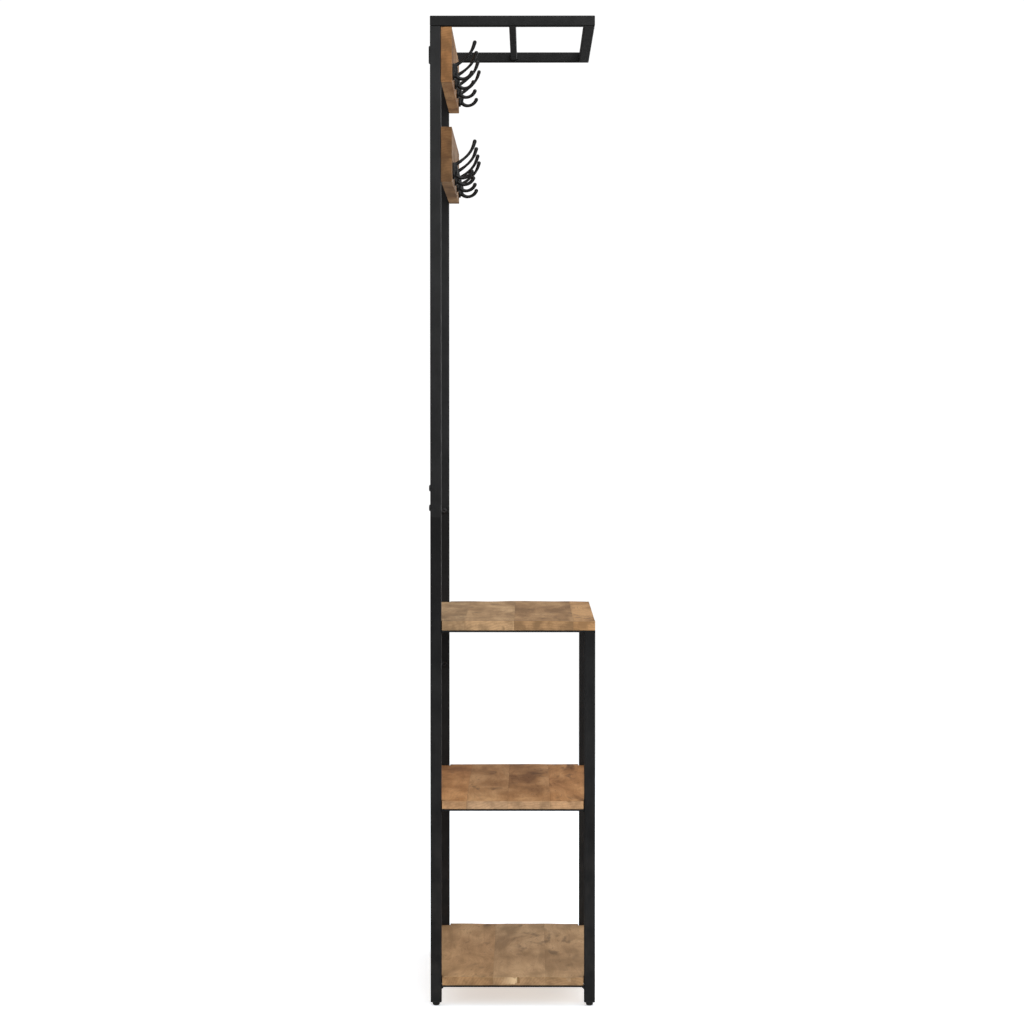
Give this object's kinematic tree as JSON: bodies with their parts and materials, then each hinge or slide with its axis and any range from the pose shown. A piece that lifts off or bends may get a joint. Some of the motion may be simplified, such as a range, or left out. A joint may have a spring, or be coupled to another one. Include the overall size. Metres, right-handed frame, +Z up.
{
  "type": "hall tree",
  "caption": "Slim hall tree: black square-tube frame with an open hat rack, two wooden boards of double coat hooks and three solid wood shelves.",
  "frame": {"origin": "centre of the footprint box on the floor", "axes": "+Z up, -Y towards the front where the shelves and hooks are reached, +X to the right of a person who faces the front"},
  "size_m": [0.6, 0.3024, 1.8],
  "materials": {
    "powder_coat": "fine satin black powder coat",
    "mango_wood": "light brown mango wood, thinly lacquered, streaked grain",
    "hook_black": "black enamelled casting",
    "dark_fasteners": "black oxide steel",
    "black_plastic": "fine grained black plastic",
    "bumper_rubber": "matt black rubber"
  },
  "bodies": {
    "frame": {"bottom_shelf": "mango_wood", "bottom_shelf_screws": "dark_fasteners", "bottom_strip_left": "powder_coat", "bottom_strip_right": "powder_coat", "bottom_strip_welds": "powder_coat", "frame_joint_bolts": "dark_fasteners", "front_post_left": "powder_coat", "front_post_right": "powder_coat", "inner_post_bolts_left": "dark_fasteners", "inner_post_bolts_right": "dark_fasteners", "lower_board_screws": "dark_fasteners", "lower_coat_hook_1": "hook_black", "lower_coat_hook_2": "hook_black", "lower_coat_hook_3": "hook_black", "lower_coat_hook_4": "hook_black", "lower_hook_board": "mango_wood", "lower_hook_screws": "dark_fasteners", "middle_shelf": "mango_wood", "middle_shelf_screws": "dark_fasteners", "middle_strip_left": "powder_coat", "middle_strip_right": "powder_coat", "middle_strip_welds": "powder_coat", "post_plug_front_left": "black_plastic", "post_plug_front_right": "black_plastic", "post_plug_rear_left": "black_plastic", "post_plug_rear_right": "black_plastic", "post_sleeve_left": "powder_coat", "post_sleeve_right": "powder_coat", "rack_front_bar": "powder_coat", "rack_middle_bar": "powder_coat", "rack_rear_bar": "powder_coat", "rack_side_bar_left": "powder_coat", "rack_side_bar_right": "powder_coat", "rear_post_lower_left": "powder_coat", "rear_post_lower_right": "powder_coat", "rear_post_upper_left": "powder_coat", "rear_post_upper_right": "powder_coat", "top_shelf": "mango_wood", "top_shelf_screws": "dark_fasteners", "top_strip_left": "powder_coat", "top_strip_right": "powder_coat", "top_strip_welds": "powder_coat", "upper_board_screws": "dark_fasteners", "upper_coat_hook_1": "hook_black", "upper_coat_hook_2": "hook_black", "upper_coat_hook_3": "hook_black", "upper_coat_hook_4": "hook_black", "upper_hook_board": "mango_wood", "upper_hook_screws": "dark_fasteners", "wall_bumper_left": "bumper_rubber", "wall_bumper_right": "bumper_rubber"},
    "foot_front_left": {"foot_sole_front_left": "black_plastic", "foot_stud_front_left": "dark_fasteners"},
    "foot_front_right": {"foot_sole_front_right": "black_plastic", "foot_stud_front_right": "dark_fasteners"},
    "foot_rear_left": {"foot_sole_rear_left": "black_plastic", "foot_stud_rear_left": "dark_fasteners"},
    "foot_rear_right": {"foot_sole_rear_right": "black_plastic", "foot_stud_rear_right": "dark_fasteners"}
  },
  "joints": [
    {"name": "foot_travel_front_left", "type": "slide", "parent": "frame", "child": "foot_front_left", "axis": [0, 0, -1], "range_m": [0, 0.008]},
    {"name": "foot_travel_front_right", "type": "slide", "parent": "frame", "child": "foot_front_right", "axis": [0, 0, -1], "range_m": [0, 0.008]},
    {"name": "foot_travel_rear_left", "type": "slide", "parent": "frame", "child": "foot_rear_left", "axis": [0, 0, -1], "range_m": [0, 0.008]},
    {"name": "foot_travel_rear_right", "type": "slide", "parent": "frame", "child": "foot_rear_right", "axis": [0, 0, -1], "range_m": [0, 0.008]}
  ]
}
